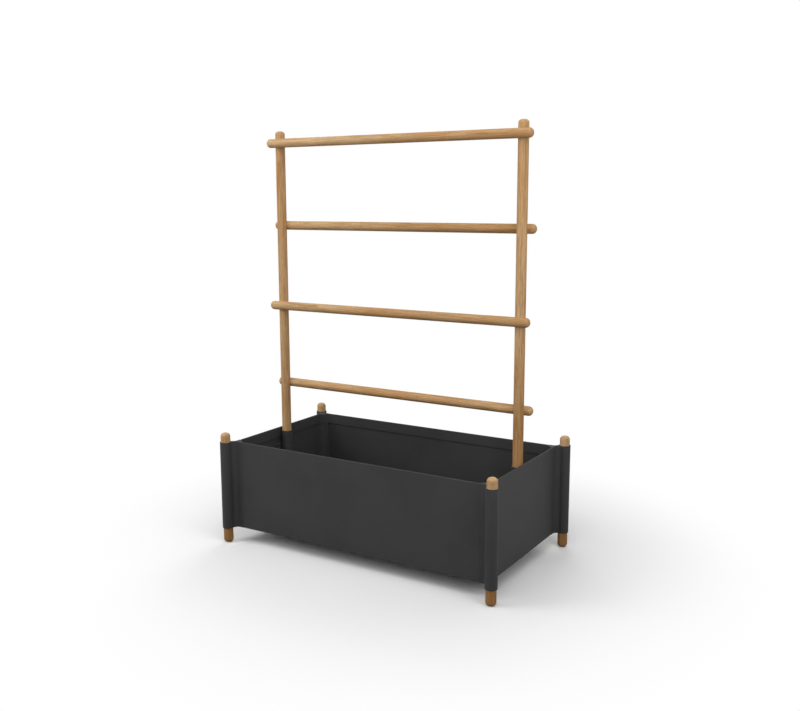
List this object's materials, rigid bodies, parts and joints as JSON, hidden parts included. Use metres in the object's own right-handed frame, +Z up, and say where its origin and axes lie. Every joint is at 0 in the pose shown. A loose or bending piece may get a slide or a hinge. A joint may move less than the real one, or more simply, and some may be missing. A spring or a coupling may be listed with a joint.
{
  "type": "planter with trellis",
  "caption": "Rectangular metal planter box on round wooden corner sticks, with a lift-out ladder trellis of cross-lapped wooden rods standing in sockets inside the short walls.",
  "frame": {"origin": "on the ground, at the middle of the footprint", "axes": "+X to the right along the long side, +Y from front to back, +Z up"},
  "size_m": [0.9552, 0.5392, 1.28],
  "materials": {
    "powder_coat": "matt fine-textured charcoal powder coat on aluminium",
    "teak": "fine-sanded, unfinished honey-brown teak, grain along the rod",
    "stainless": "plain stainless steel"
  },
  "bodies": {
    "box": {"corner_post_front_left": "powder_coat", "corner_stick_front_left": "teak", "rim_key_front_left": "powder_coat", "corner_post_front_right": "powder_coat", "corner_stick_front_right": "teak", "rim_key_front_right": "powder_coat", "corner_post_back_left": "powder_coat", "corner_stick_back_left": "teak", "rim_key_back_left": "powder_coat", "corner_post_back_right": "powder_coat", "corner_stick_back_right": "teak", "rim_key_back_right": "powder_coat", "wall_front": "powder_coat", "wall_back": "powder_coat", "wall_left": "powder_coat", "wall_right": "powder_coat", "floor_plate": "powder_coat", "floor_rail_1": "powder_coat", "floor_rail_2": "powder_coat", "floor_rail_3": "powder_coat", "trellis_socket_left": "powder_coat", "socket_saddle_left": "powder_coat", "trellis_socket_right": "powder_coat", "socket_saddle_right": "powder_coat", "stick_screws": "stainless", "rail_screws": "stainless", "saddle_nuts": "stainless"},
    "trellis": {"trellis_post_left": "teak", "trellis_post_right": "teak", "trellis_rung_1": "teak", "trellis_rung_2": "teak", "trellis_rung_3": "teak", "trellis_rung_4": "teak", "rung_screws": "stainless"},
    "clamp_left": {"clamp_screw_left": "stainless"},
    "clamp_right": {"clamp_screw_right": "stainless"}
  },
  "joints": [
    {"name": "trellis_lift", "type": "slide", "parent": "box", "child": "trellis", "axis": [0, 0, 1], "range_m": [0, 0.18]},
    {"name": "clamp_left_back_off", "type": "slide", "parent": "box", "child": "clamp_left", "axis": [1, 0, 0], "range_m": [0, 0.0016]},
    {"name": "clamp_right_back_off", "type": "slide", "parent": "box", "child": "clamp_right", "axis": [-1, 0, 0], "range_m": [0, 0.0016]}
  ]
}
